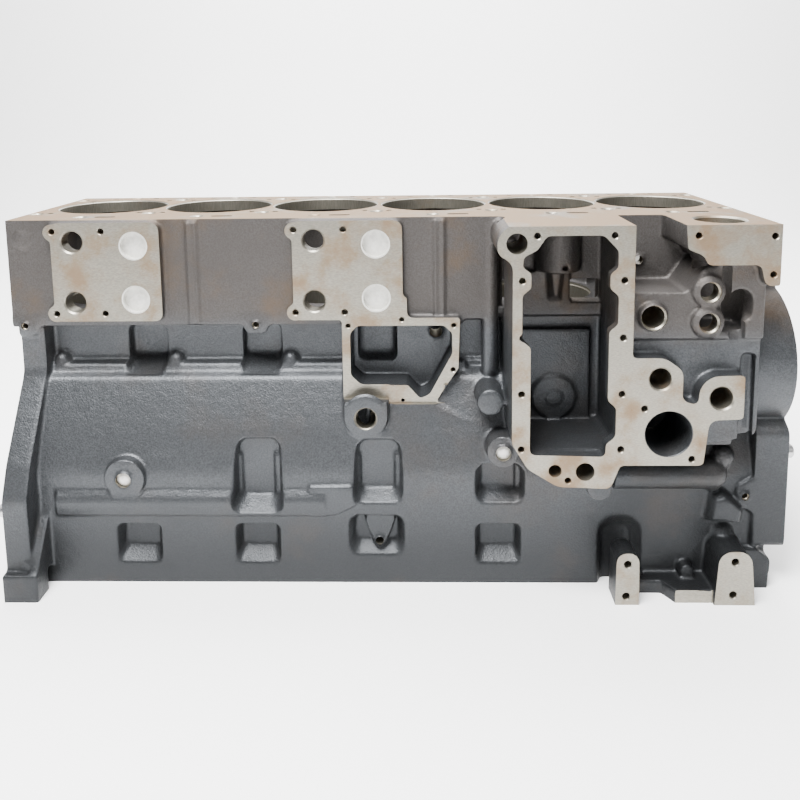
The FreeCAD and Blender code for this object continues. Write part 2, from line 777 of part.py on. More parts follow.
def cam_cutting():
    """The camshaft bores in the bulkheads and the open space between them."""
    tools = [rod(bush_r, (rear_face - 1, cam_y, cam_z), (front_face + 1, cam_y, cam_z))]
    tools.append(rod(cam_plug_r, (rear_face - 1, cam_y, cam_z), (rear_face + cam_plug_depth, cam_y, cam_z)))
    margin = bush_length / 2 + 1
    for rear, front in bays:
        tools.append(rod(cam_space_r, (rear + margin, cam_y, cam_z), (front - margin, cam_y, cam_z)))
    return tools


def end_dowels(face):
    """Where the dowels stand in an end face, as (y, z)."""
    return ((-172, 8), (172, 8)) if face == rear_face else ((-148, 66), (158, 80))


def end_drilling():
    """Threaded holes and recesses of the rear and front faces, and of the rail."""
    tools = []
    for side in (-1, 1):
        for y, z in ((172, -66), (172, -20), (168, 34), (140, 96), (100, 160)):
            tools.append(rod(5, (rear_face - 1, side * y, level(z)), (rear_face + 24, side * y, level(z))))
    for y, z in ((-152, -30), (-150, 40), (-60, 250), (20, 250), (76, 248), (140, 196), (160, 120), (162, 40), (162, -30)):
        tools.append(rod(4.5, (front_face + 1, y, level(z)), (front_face - 24, y, level(z))))
    z = level(drum_z)
    tools.append(rod(drum_recess_r, (front_face + 1, drum_y, z), (front_face - drum_recess_depth, drum_y, z)))
    for x, away in ((rear_face, -1), (front_face, 1)):
        for y, z in end_dowels(x):
            tools.append(rod(dowel_r, (x + away, y, z), (x - away * (dowel_length - dowel_stand), y, z)))
    for x in [rear_face + 30 + i * 66 for i in range(12)]:
        for y in (-skirt_y + 7, skirt_y - 7):
            tools.append(rod(3.6, (x, y, rail_z - 1), (x, y, rail_z + 20)))
    for x, z in foot_holes:
        tools.append(tapped(x, z, cooler_face, 16, 4))
    tools.append(tapped(409, 20, -163, 12))
    for side in (-1, 1):
        tools.append(rod(5, (rear_face + 25, side * 178, rail_z - 1), (rear_face + 25, side * 178, rail_z + 43)))
    return tools


def block_casting():
    """The whole iron casting with its machining."""
    body = block(rear_end, deck_front_end, near_wall, far_wall, mid_deck_z, deck_height)
    adds = [body, crankcase_form()]
    adds += rear_flange()
    adds += front_plate()
    adds += cooler_housing()
    adds += port_bosses()
    adds += column_and_bosses()
    adds += side_pads()
    adds += oil_bead()
    adds += corner_feet()
    adds += far_side()
    shape = union(adds)
    shape = shape.common(block(rear_end, front_face, cooler_face, 220, rail_z, deck_height))
    gallery_rib = rod(gallery_rib_r, (rear_face, gallery_y, gallery_z), (front_face, gallery_y, gallery_z))
    hollow = union([bay_hollow(rear, front) for rear, front in bays])
    hollow = hollow.cut([main_boss(x) for x in main_x] + [gallery_rib, cooler_room(jacket_wall)])
    jacket = union([cylinder_hollow(x) for x in bore_x] + [header_hollow()])
    jacket = jacket.common(block(rear_end + jacket_wall, deck_front_end - jacket_wall,
                                         near_wall, far_wall, 0, deck_height + 5))
    jacket = jacket.cut(jacket_posts() + [cooler_room(jacket_wall)])
    shape = shape.cut([hollow, jacket])
    tools = deck_drilling() + pad_drilling() + window_cutting() + cooler_cutting() + notch_cutting()
    tools += [column_recess()] + wall_pockets() + crank_cutting() + cam_cutting() + end_drilling()
    return shape.cut(tools)


# The separate pieces that the casting carries
def hex_bar(flats, start, end):
    """A six-sided bar between two points on one axis."""
    a, b = V(*start), V(*end)
    corners = [V(math.cos(k * math.pi / 3), math.sin(k * math.pi / 3), 0) * (flats / math.sqrt(3)) for k in range(7)]
    turn = FreeCAD.Rotation(V(0, 0, 1), b - a)
    face = Part.Face(Part.makePolygon([a + turn.multVec(c) for c in corners]))
    return face.extrude(b - a)


def main_cap(x):
    """One main bearing cap: half bore, bolt shoulders and crown."""
    crown, shoulder, span = -cap_crown_drop, -cap_shoulder_drop, cap_half_span
    inner = cap_bolt_y - cap_bolt_flats / 2 - 6
    section = [
        (-span, 0, 0),
        (-span, shoulder, 4),
        (-inner, shoulder, 5),
        (-inner + 9, crown, 12),
        (inner - 9, crown, 12),
        (inner, shoulder, 5),
        (span, shoulder, 4),
        (span, 0, 0),
    ]
    cap = prism(section, "x", x - cap_width / 2, x + cap_width / 2)
    tools = [rod(main_bore_r, (x - cap_width, 0, 0), (x + cap_width, 0, 0))]
    for y in (-cap_bolt_y, cap_bolt_y):
        tools.append(rod(cap_bolt_r + cap_bolt_clearance, (x, y, shoulder - 1), (x, y, 1)))
        tools.append(rod(sleeve_r, (x, y, -sleeve_length / 2), (x, y, 1)))
    return cap.cut(tools)


def main_cap_bolt(x, y):
    """One cap bolt with a six-sided head and a bevelled tip."""
    seat = -cap_shoulder_drop
    shank = rod(cap_bolt_r, (x, y, seat), (x, y, cap_bolt_reach - 2))
    tip = cone(cap_bolt_r, cap_bolt_r - 2, (x, y, cap_bolt_reach - 2), (x, y, cap_bolt_reach))
    head = hex_bar(cap_bolt_flats, (x, y, seat), (x, y, seat - cap_bolt_head_height))
    return shank.fuse([tip, head])


def cap_sleeve(x, y):
    """One hollow dowel between a cap and the casting, around its bolt."""
    half = sleeve_length / 2
    bore = cap_bolt_r + cap_bolt_clearance
    return rod(sleeve_r, (x, y, -half), (x, y, half)).cut(rod(bore, (x, y, -half), (x, y, half)))


def cam_bush(x):
    """One plain camshaft bush with its oil hole."""
    half = bush_length / 2
    shell = rod(bush_r, (x - half, cam_y, cam_z), (x + half, cam_y, cam_z))
    inner = rod(bush_r - bush_wall, (x - half, cam_y, cam_z), (x + half, cam_y, cam_z))
    oil_hole = rod(2.5, (x, cam_y, cam_z), (x, cam_y - bush_r - 1, cam_z))
    return shell.cut([inner, oil_hole])


def cup_plug(r, depth, mouth, inward):
    """A pressed cup plug with its open side outwards."""
    start, run = V(*mouth), V(*inward)
    outer = Part.makeCylinder(r, depth, start, run)
    rim = outer.makeFillet(cup_wall * 0.9, [outer.Edges[k] for k in range(len(outer.Edges))
                                            if outer.Edges[k].Closed
                                            and (outer.Edges[k].CenterOfMass - start).Length > depth / 2])
    return rim.cut(Part.makeCylinder(r - cup_wall, depth - cup_wall, start, run))


def domed_plug(x, y, z):
    """A small expansion plug, its crown towards -Y."""
    barrel = rod(small_plug_r, (x, y + 2, z), (x, y + small_plug_depth, z))
    dome_r = small_plug_r * 1.5
    drop = math.sqrt(dome_r ** 2 - small_plug_r ** 2)
    dome = Part.makeSphere(dome_r, V(x, y + 2 + drop, z))
    slab = rod(small_plug_r, (x, y - 4, z), (x, y + 2, z))
    return barrel.fuse(dome.common(slab))


def gallery_plug(face, away):
    """A threaded oil gallery plug with a six-sided socket."""
    mouth = face - away * plug_recess
    end = face - away * gallery_plug_length
    plug = rod(gallery_plug_r, (mouth, gallery_y, gallery_z), (end, gallery_y, gallery_z))
    socket = hex_bar(socket_flats, (mouth, gallery_y, gallery_z), (mouth - away * 7, gallery_y, gallery_z))
    return plug.cut(socket)


def dowel_pin(face, away, y, z):
    """A solid dowel that stands out of an end face, its tip bevelled."""
    tip = face + away * dowel_stand
    bevel = tip - away * 2
    pin = rod(dowel_r, (face - away * (dowel_length - dowel_stand), y, z), (bevel, y, z))
    return pin.fuse(cone(dowel_r, dowel_r - 1.5, (bevel, y, z), (tip, y, z)))


def export(name, shape):
    """Write one sub-part and say what it is."""
    shape.exportStep("parts/%s.step" % name)
    print("%-26s solids %d valid %s volume %.1f cm3" % (name, len(shape.Solids), shape.isValid(), shape.Volume / 1000))


export("block_casting", block_casting())
bolts, sleeves = [], []
for number, x in enumerate(main_x, 1):
    export("main_cap_%d" % number, main_cap(x))
    export("cam_bush_%d" % number, cam_bush(x))
    for y in (-cap_bolt_y, cap_bolt_y):
        bolts.append(main_cap_bolt(x, y))
        sleeves.append(cap_sleeve(x, y))
export("main_cap_bolts", Part.makeCompound(bolts))
export("main_cap_sleeves", Part.makeCompound(sleeves))
for place, x in zip(("rear", "centre"), pad_x):
    for height, z in zip(("upper", "lower"), side_plug_z):
        mouth = (x + 70, pad_face + plug_recess, level(z))
        export("side_plug_%s_%s" % (place, height), cup_plug(side_plug_r, side_plug_depth, mouth, (0, 1, 0)))
for place, spot in zip(("rear", "front"), small_plugs):
    export("skirt_plug_%s" % place, domed_plug(spot[0], spot[1], level(spot[2])))
for number, x in enumerate(bore_x, 1):
    mouth = (x, far_wall + 4 - plug_recess, level(core_plug_z))
    export("core_plug_%d" % number, cup_plug(core_plug_r, core_plug_depth, mouth, (0, -1, 0)))
export("cam_rear_plug", cup_plug(cam_plug_r, cam_plug_depth - plug_recess, (rear_face + plug_recess, cam_y, cam_z),
                                 (1, 0, 0)))
for place, face, away in (("rear", rear_face, -1), ("front", front_face, 1)):
    export("gallery_plug_%s" % place, gallery_plug(face, away))
    pins = [dowel_pin(face, away, y, z) for y, z in end_dowels(face)]
    export("%s_face_dowels" % place, Part.makeCompound(pins))
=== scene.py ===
"""Dresses a bare engine block: cast skin, machined faces, caps, bolts, plugs and the stage."""

import json
import math

import bmesh
import bpy
from mathutils import Matrix, Vector
from mathutils.bvhtree import BVHTree


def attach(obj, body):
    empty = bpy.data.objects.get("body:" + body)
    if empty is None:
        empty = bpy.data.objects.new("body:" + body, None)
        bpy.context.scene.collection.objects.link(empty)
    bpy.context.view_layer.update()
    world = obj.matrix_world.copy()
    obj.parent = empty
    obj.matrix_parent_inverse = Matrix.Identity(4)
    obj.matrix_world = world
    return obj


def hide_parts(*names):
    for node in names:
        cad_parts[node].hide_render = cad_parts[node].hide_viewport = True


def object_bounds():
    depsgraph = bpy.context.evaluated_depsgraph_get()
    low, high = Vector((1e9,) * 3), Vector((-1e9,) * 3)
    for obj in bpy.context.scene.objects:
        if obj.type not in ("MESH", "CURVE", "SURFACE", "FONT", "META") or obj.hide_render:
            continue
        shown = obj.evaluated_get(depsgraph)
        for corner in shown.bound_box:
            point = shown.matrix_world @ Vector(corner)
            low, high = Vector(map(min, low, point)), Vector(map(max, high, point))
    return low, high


bl_info = {
    "name": "Engine block",
    "version": (1, 0, 0),
    "blender": (4, 5, 0),
    "location": "View3D > Sidebar > Engine block",
    "description": "Cast skin, machined faces, fittings and stage of a bare engine block",
    "category": "Object",
}

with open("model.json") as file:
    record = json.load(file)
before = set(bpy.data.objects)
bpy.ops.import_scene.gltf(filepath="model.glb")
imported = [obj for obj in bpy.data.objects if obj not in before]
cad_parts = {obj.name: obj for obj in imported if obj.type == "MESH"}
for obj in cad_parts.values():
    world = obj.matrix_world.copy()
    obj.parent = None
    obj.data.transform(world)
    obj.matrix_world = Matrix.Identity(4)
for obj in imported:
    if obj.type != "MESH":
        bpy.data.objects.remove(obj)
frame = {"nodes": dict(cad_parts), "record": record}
cad_low, cad_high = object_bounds()
MM = 0.001
AXES = {"X": Vector((1, 0, 0)), "Y": Vector((0, 1, 0)), "Z": Vector((0, 0, 1))}

# Machined faces: finish, axis, side, plane, then the lowest and highest corner of the cut, in mm.
# The cast row clears the tongue off the window pad's rim before that rim is milled.
MACHINED_FACES = (
    ("deck", "Z", 1, 330, (-440, -215), (470, 115)),
    ("milled", "Z", -1, -88, (-440, -215), (470, 215)),
    ("milled", "X", -1, -414, (-215, -100), (215, 206)),
    ("milled", "X", -1, -421, (-140, 206.2), (115, 345)),
    ("milled", "X", 1, 455, (-185, -100), (190, 275)),
    ("milled", "Y", -1, -197, (120, 40), (460, 345)),
    ("milled", "Y", -1, -197, (250, -100), (425, -18)),
    ("milled", "Y", -1, -193, (322, -100), (366.5, -66)),
    ("milled", "Y", -1, -130, (-380, 208.5), (-232, 345)),
    ("milled", "Y", -1, -130, (-105, 208.5), (44, 345)),
    ("cast", "Y", -1, -134, (-44, 121.5), (15, 141)),
    ("milled", "Y", -1, -130, (-44, 138), (101, 245)),
    ("milled", "Y", -1, -130, (-44, 121.5), (14.5, 138.2)),
    ("milled", "Y", -1, -130, (14.5, 115.5), (78, 138.2)),
    ("milled", "Y", 1, 176, (-335, 18), (-208, 101)),
    ("milled", "Y", 1, -80, (-440, -100), (470, 0)),
    ("milled", "Y", -1, 80, (-440, -100), (470, 0)),
    ("milled", "Z", -1, 0, (-440, -80), (470, 80)),
)
# How far out of its plane a machined face's cut reaches, in mm
CUT_DEPTH = 9
# Boxes of metal that thicken the skin behind the upper skirt pockets: corners in mm
POCKET_BACKS = (
    ((-118, -142, -12), (-104, -136.5, 60)),
    ((-163, -142, -12), (-155, -136.5, 60)),
    ((20, -142, -4), (32, -136.5, 60)),
    ((-27, -142, -4), (-19, -136.5, 60)),
    ((157, -142, -4), (169, -136.5, 50)),
    ((110, -142, -4), (118, -136.5, 50)),
)
# The raised face of the tongue round its port: a bar, and a disc with its radius and depth, in mm
TONGUE_BAR = ((-37, -146, 105), (13, -130, 120))
TONGUE_DISC = (-12, -146, 105)
TONGUE_RADIUS = 25.0
TONGUE_DEPTH = 16.0
# The tongue's port: mouth and bottom of its axis, its radius and how much its mouth flares, in mm
PORT_MOUTH = Vector((-12, -146, 103))
PORT_BOTTOM = Vector((-12, -80, 93))
PORT_RADIUS = 11.5
PORT_FLARE = 2.0
# The main bearing bore: its radius in mm, and its front and rear end as depths along X in metres
MAIN_BORE = 52.0
BORE_ENDS = (-0.47, 0.43)

# Round holes are found, and their depth is followed, with these lengths in metres
SMALLEST_HOLE = 0.0012
LARGEST_HOLE = 0.09
PROFILE_STEP = 0.0004
PROFILE_RAYS = 7
BREAKTHROUGH = 0.0025
WAY_IN = 0.006
# Holes wider than this are bored; seen ones wider than the next are left as cast
BORED_RADIUS = 0.05
CORED_RADIUS = 0.018

# The sweep of paper: front edge, start of the bend, radius of the bend, top and half width
PAPER_FRONT = -6.0
PAPER_BEND = 2.2
PAPER_RADIUS = 0.8
PAPER_TOP = 3.5
PAPER_HALF = 6.0
BEND_STEPS = 12


class CastingSettings(bpy.types.PropertyGroup):
    """Sizes and colours of the casting."""

    grain: bpy.props.FloatProperty(
        name="Skin grain",
        description="Size of the smallest form kept when the cast skin is softened",
        default=0.0018,
        unit="LENGTH",
    )
    softening: bpy.props.IntProperty(
        name="Softening passes",
        description="How often the cast edges and corners are relaxed",
        default=7,
    )
    allowance: bpy.props.FloatProperty(
        name="Machining allowance",
        description="Extra metal on each machined face before it is cut",
        default=0.0035,
        unit="LENGTH",
    )
    skin_faces: bpy.props.IntProperty(
        name="Skin triangles",
        description="Triangles kept in the cast skin before the cuts",
        default=118000,
    )
    iron: bpy.props.FloatVectorProperty(
        name="Cast iron",
        description="Colour of the bare sand-cast skin",
        subtype="COLOR",
        size=3,
        default=(0.062, 0.0655, 0.07),
    )
    cut_iron: bpy.props.FloatVectorProperty(
        name="Machined iron",
        description="Colour of freshly milled and bored iron",
        subtype="COLOR",
        size=3,
        default=(0.25, 0.235, 0.198),
    )
    rust: bpy.props.FloatVectorProperty(
        name="Rust film",
        description="Colour of the thin rust and dried oil on the machined faces",
        subtype="COLOR",
        size=3,
        default=(0.21, 0.135, 0.075),
    )


class FittingSettings(bpy.types.PropertyGroup):
    """Colours of the bolts, sleeves, dowels, bushes and plugs."""

    plug_zinc: bpy.props.FloatVectorProperty(
        name="Cup plugs",
        description="Colour of the dull zinc on the pressed plugs",
        subtype="COLOR",
        size=3,
        default=(0.66, 0.65, 0.61),
    )
    bolt_black: bpy.props.FloatVectorProperty(
        name="Bolts",
        description="Colour of the black oxide on the cap bolts",
        subtype="COLOR",
        size=3,
        default=(0.05, 0.05, 0.055),
    )
    steel: bpy.props.FloatVectorProperty(
        name="Ground steel",
        description="Colour of the dowels and sleeves",
        subtype="COLOR",
        size=3,
        default=(0.5, 0.5, 0.5),
    )
    bronze: bpy.props.FloatVectorProperty(
        name="Bushes",
        description="Colour of the bored bearing bronze",
        subtype="COLOR",
        size=3,
        default=(0.42, 0.3, 0.16),
    )


class StageSettings(bpy.types.PropertyGroup):
    """Floor, light and camera."""

    floor: bpy.props.FloatVectorProperty(
        name="Floor",
        description="Colour of the floor and the backdrop",
        subtype="COLOR",
        size=3,
        default=(0.97, 0.97, 0.97),
    )
    camera_at: bpy.props.FloatVectorProperty(
        name="Camera",
        description="Where the camera stands",
        subtype="XYZ",
        unit="LENGTH",
        size=3,
        default=(0.0515, -0.9749, 0.4527),
    )
    camera_down: bpy.props.FloatProperty(
        name="Camera pitch",
        description="How far the camera looks down",
        subtype="ANGLE",
        default=math.radians(7.49),
    )
    camera_turn: bpy.props.FloatProperty(
        name="Camera yaw",
        description="How far the camera turns to the right",
        subtype="ANGLE",
        default=math.radians(-1.48),
    )
    camera_roll: bpy.props.FloatProperty(
        name="Camera roll",
        description="How far the camera leans to the right",
        subtype="ANGLE",
        default=math.radians(0.74),
    )
    camera_lens: bpy.props.FloatProperty(
        name="Lens",
        description="Focal length on a 36 mm sensor",
        subtype="DISTANCE_CAMERA",
        default=34.54,
    )
    camera_shift: bpy.props.FloatProperty(
        name="Lens shift",
        description="Upward shift of the lens as a share of the frame",
        default=-0.24,
    )


class Socket:
    """One output of a shader node, with the sums that are done on it."""

    def __init__(self, tree, output):
        self.tree = tree
        self.output = output

    def sum(self, operation, *values, clamp=False):
        return self.tree.add(
            "ShaderNodeMath", {"operation": operation, "use_clamp": clamp}, dict(enumerate(values))
        ).out(0)

    def __add__(self, other):
        return self.sum("ADD", self, other)

    def __radd__(self, other):
        return self.sum("ADD", other, self)

    def __sub__(self, other):
        return self.sum("SUBTRACT", self, other)

    def __rsub__(self, other):
        return self.sum("SUBTRACT", other, self)

    def __mul__(self, other):
        return self.sum("MULTIPLY", self, other)

    def __rmul__(self, other):
        return self.sum("MULTIPLY", other, self)

    def clamped(self):
        return self.sum("ADD", self, 0.0, clamp=True)

    def band(self, low, high):
        """0 below low, 1 above high, and a soft step between them."""
        node = self.tree.add(
            "ShaderNodeMapRange",
            {"interpolation_type": "SMOOTHSTEP"},
            {"Value": self, "From Min": low, "From Max": high},
        )
        return node.out("Result")


class Node:
    """A shader node and its outputs."""

    def __init__(self, tree, node):
        self.tree = tree
        self.node = node

    def out(self, name):
        return Socket(self.tree, self.node.outputs[name])


class Shader:
    """The node tree of one material."""

    def __init__(self, name):
        self.material = bpy.data.materials.new(name)
        self.material.use_nodes = True
        self.nodes = self.material.node_tree.nodes
        self.links = self.material.node_tree.links
        self.nodes.clear()

    def add(self, kind, settings, inputs):
        """Adds a node: its settings first, then the values or links of its sockets."""
        node = self.nodes.new(kind)
        for key, value in settings.items():
            setattr(node, key, value)
        for key, value in inputs.items():
            if isinstance(value, Socket):
                self.links.new(value.output, node.inputs[key])
            else:
                node.inputs[key].default_value = value
        return Node(self, node)

    def place(self):
        """The point on the surface, in metres, in the object's own frame."""
        return self.add("ShaderNodeTexCoord", {}, {}).out("Object")

    def parts(self, place):
        """The three numbers of a point."""
        node = self.add("ShaderNodeSeparateXYZ", {}, {"Vector": place})
        return {axis: node.out(axis) for axis in "XYZ"}

    def stretched(self, place, scale):
        return self.add("ShaderNodeMapping", {}, {"Vector": place, "Scale": scale}).out("Vector")

    def noise(self, place, size, detail=3.0, roughness=0.5):
        """Cloudy noise from 0 to 1 with blotches about size metres across."""
        inputs = {"Vector": place, "Scale": 1 / size, "Detail": detail, "Roughness": roughness}
        return self.add("ShaderNodeTexNoise", {}, inputs).out("Fac")

    def cells(self, place, size):
        """Distance to the nearest of many scattered points."""
        inputs = {"Vector": place, "Scale": 1 / size}
        return self.add("ShaderNodeTexVoronoi", {}, inputs).out("Distance")

    def mix(self, share, first, second):
        """A colour that goes from first to second with share."""
        inputs = {"Factor": share, 6: first, 7: second}
        return self.add("ShaderNodeMix", {"data_type": "RGBA"}, inputs).out(2)

    def bump(self, height, distance, strength=1.0, under=None):
        inputs = {"Height": height, "Distance": distance, "Strength": strength}
        if under is not None:
            inputs["Normal"] = under
        return self.add("ShaderNodeBump", {}, inputs).out("Normal")

    def finish(self, inputs):
        """Closes the tree with a principled shader."""
        shader = self.add("ShaderNodeBsdfPrincipled", {}, inputs)
        self.add("ShaderNodeOutputMaterial", {}, {"Surface": shader.out("BSDF")})
        return self.material


def rgba(colour, gain=1.0):
    return (colour[0] * gain, colour[1] * gain, colour[2] * gain, 1.0)


def cast_iron(name, colour, rust):
    """Dark sand-cast iron: a fine open grain, cloudy oil stains and a few brown patches, with
    painted shade that darkens it towards the bottom and a painted shadow low down under the
    cooler.
    """
    shader = Shader(name)
    place = shader.place()
    parts = shader.parts(place)
    height = parts["Z"]
    grain = shader.noise(place, 0.0018, 3.0, 0.55)
    lumps = shader.noise(place, 0.011, 3.0, 0.55)
    clouds = shader.noise(place, 0.11, 4.0, 0.6)
    patches = shader.noise(place, 0.13, 5.0, 0.65).band(0.5, 0.68)
    dry = height.band(0.19, 0.23)
    # Painted shade: the iron darkens towards the bottom of the block, below about 0.06 m.
    painted_low_shade = 1.0 - height.band(-0.07, 0.06)
    # Painted shadow: darker low down between X 0.2 and 0.3 m, under the cooler.
    painted_cooler_shadow = parts["X"].band(0.2, 0.3) * (1.0 - height.band(0.03, 0.13))
    tone = shader.mix(grain.band(0.3, 0.72), rgba(colour, 0.78), rgba(colour, 1.2))
    tone = shader.mix(clouds.band(0.35, 0.7) * 0.4, tone, rgba(colour, 0.78))
    # Painted shade darkens the lower part of the block to 40 percent of the iron colour.
    tone = shader.mix(painted_low_shade * 0.85, tone, rgba(colour, 0.4))
    # Painted shadow under the cooler, down to 30 percent of the iron colour.
    tone = shader.mix(painted_cooler_shadow * 0.6, tone, rgba(colour, 0.3))
    tone = shader.mix(0.22 * dry + patches * (0.1 + 0.28 * dry), tone, rgba(rust, 0.5))
    rough = 0.33 + 0.12 * grain + 0.12 * clouds + 0.12 * dry
    normal = shader.bump(lumps, 0.0007)
    normal = shader.bump(grain, 0.0006, 0.75, normal)
    return shader.finish(
        {"Base Color": tone, "Roughness": rough, "Metallic": 0.8, "Normal": normal}
    )


def cut_iron(name, colour, rust, film, lay, polish=0.36):
    """Milled or bored iron: fine tool marks under a thin uneven film of rust and dried oil."""
    shader = Shader(name)
    place = shader.place()
    marks = shader.noise(shader.stretched(place, lay), 0.0009, 2.0, 0.5)
    blots = shader.noise(place, 0.045, 5.0, 0.62)
    specks = shader.noise(place, 0.004, 3.0, 0.6)
    stain = (blots.band(0.62 - film, 0.86 - film) * 0.75 + specks.band(0.55, 0.75) * 0.2).clamped()
    tone = shader.mix(marks.band(0.3, 0.7), rgba(colour, 0.86), rgba(colour, 1.12))
    tone = shader.mix(stain, tone, rgba(rust))
    rough = polish + 0.24 * stain + 0.08 * marks
    normal = shader.bump(marks, 0.00012, 0.6)
    return shader.finish(
        {"Base Color": tone, "Roughness": rough, "Metallic": 0.9, "Normal": normal}
    )


def plated(name, colour, roughness, metallic=0.85):
    """Plated or oxide-coated steel with a faint mottle and rubbed spots."""
    shader = Shader(name)
    place = shader.place()
    mottle = shader.noise(place, 0.006, 4.0, 0.6)
    rubs = shader.noise(place, 0.02, 3.0, 0.6)
    tone = shader.mix(mottle.band(0.3, 0.7), rgba(colour, 0.85), rgba(colour, 1.08))
    rough = roughness + 0.18 * (rubs - 0.5)
    normal = shader.bump(mottle, 0.00015, 0.5)
    return shader.finish(
        {"Base Color": tone, "Roughness": rough, "Metallic": metallic, "Normal": normal}
    )


def new_object(name, mesh, *materials):
    """Links a new object that holds mesh."""
    obj = bpy.data.objects.new(name, mesh)
    for material in materials:
        mesh.materials.append(material)
    bpy.context.collection.objects.link(obj)
    return obj


def welded(node):
    """A copy of a frame node's mesh with its split corners joined."""
    copy = bmesh.new()
    copy.from_mesh(frame["nodes"][node].data)
    bmesh.ops.remove_doubles(copy, verts=copy.verts, dist=1e-6)
    copy.normal_update()
    return copy


def cut_box(face):
    """Lowest and highest corner, in metres, of what a machined face's cut takes away."""
    _, axis, side, plane, low, high = face
    at = "XYZ".index(axis)
    rest = [i for i in range(3) if i != at]
    low_corner = Vector((0, 0, 0))
    high_corner = Vector((0, 0, 0))
    for i, a, b in zip(rest, low, high):
        low_corner[i] = a * MM
        high_corner[i] = b * MM
    near, far = plane * MM, (plane + side * CUT_DEPTH) * MM
    low_corner[at] = min(near, far)
    high_corner[at] = max(near, far)
    return low_corner, high_corner


def add_allowance(casting, depth):
    """Gives each machined face and the main bore the extra metal that the raw casting has."""
    moves = {}
    for face in MACHINED_FACES:
        _, axis, side, plane = face[:4]
        at = "XYZ".index(axis)
        low, high = cut_box(face)
        slack = 2e-5
        for corner in casting.verts:
            if abs(corner.co[at] - plane * MM) > slack:
                continue
            if all(i == at or low[i] - slack < corner.co[i] < high[i] + slack for i in range(3)):
                moves[corner] = moves.get(corner, Vector()) + AXES[axis] * side * depth
    for corner in casting.verts:
        out = Vector((0, corner.co.y, corner.co.z))
        if abs(out.length - MAIN_BORE * MM) < 5e-5:
            moves[corner] = moves.get(corner, Vector()) + out.normalized() * -depth
    for corner, move in moves.items():
        corner.co += move


def planar_rims(casting):
    """Closed loops of edges round each flat, axis-aligned area: corners, walls, outward axis."""
    rims = []
    for direction in (side * axis for axis in AXES.values() for side in (1, -1)):
        faces = [f for f in casting.faces if f.normal.dot(direction) > 0.99999]
        flat = set(faces)
        nexts = {}
        for face in faces:
            for loop in face.loops:
                other = [f for f in loop.edge.link_faces if f is not face]
                if len(other) == 1 and other[0] not in flat:
                    nexts.setdefault(loop.vert, []).append((loop.link_loop_next.vert, other[0]))
        starts = {v: True for v, ends in nexts.items() if len(ends) == 1}
        while starts:
            first, _ = starts.popitem()
            here, wall = nexts[first][0]
            rim = [first]
            while here is not first and here in starts:
                starts.pop(here)
                rim.append(here)
                here = nexts[here][0][0]
            if here is first and len(rim) >= 10:
                rims.append(([v.co.copy() for v in rim], wall, direction))
    return rims


def round_holes(casting):
    """The round holes: centre of the rim, outward axis and radius of the rim."""
    holes = []
    for points, wall, direction in planar_rims(casting):
        low = Vector(min(p[i] for p in points) for i in range(3))
        high = Vector(max(p[i] for p in points) for i in range(3))
        centre = (low + high) / 2
        spans = [(p - centre).length for p in points]
        radius = sum(spans) / len(spans)
        uneven = max(spans) - min(spans) > 0.00008 + 0.01 * radius
        if uneven or not SMALLEST_HOLE < radius < LARGEST_HOLE:
            continue
        if (wall.calc_center_median() - centre).dot(wall.normal) < 0:
            holes.append((centre, direction, radius))
    return holes


def hole_profile(tree, centre, direction, rim):
    """Depth and radius of a hole, down to its bottom or to where it opens out."""
    side = direction.orthogonal().normalized()
    turns = [k * math.tau / PROFILE_RAYS for k in range(PROFILE_RAYS)]
    rays = [Matrix.Rotation(turn, 3, direction) @ side for turn in turns]

    def radius_at(depth):
        hits = [tree.ray_cast(centre - direction * depth, ray)[3] for ray in rays]
        found = sorted(h for h in hits if h is not None)
        return found[len(found) // 2] if len(found) > 3 else 1.0

    same_share, opening, least_step = 0.012, 0.0002, 0.00005
    down = tree.ray_cast(centre + direction * 1e-5, -direction)[3]
    end = 0.9 if down is None else down - 1e-5
    profile = [(0.0, rim)]
    depth = PROFILE_STEP
    while depth < end:
        radius = radius_at(depth)
        if abs(radius - rim) < same_share * rim:
            radius = rim
        if radius > rim + opening:
            profile.append((depth + BREAKTHROUGH, profile[-1][1]))
            return profile
        if abs(radius - profile[-1][1]) > least_step:
            profile.append((depth - PROFILE_STEP, profile[-1][1]))
            profile.append((depth, radius))
        depth += PROFILE_STEP
    profile.append((max(end, PROFILE_STEP), profile[-1][1]))
    return profile


def worth_drilling(profile, rim):
    """False for the foot of a boss, a hole's own bottom and a rim with no wall under it."""
    lip, least_depth, narrowing = 0.0005, 0.002, 0.0006
    steps = [radius for depth, radius in profile if depth <= lip]
    return profile[-1][0] > least_depth and rim - min(steps) < narrowing


def tongue_port():
    """What the drill takes out of the tongue: its slanting port with a flared mouth."""
    axis = PORT_MOUTH - PORT_BOTTOM
    radius, flare = PORT_RADIUS * MM, PORT_FLARE * MM
    profile = [(-WAY_IN, radius + flare), (0.001, radius + flare), (0.003, radius),
               (axis.length * MM, radius)]
    return turned(profile, PORT_MOUTH * MM, axis.normalized())


def segments_for(radius):
    """Sides of a turned solid's circle."""
    return 24 if radius < 0.006 else 40 if radius < 0.02 else 96


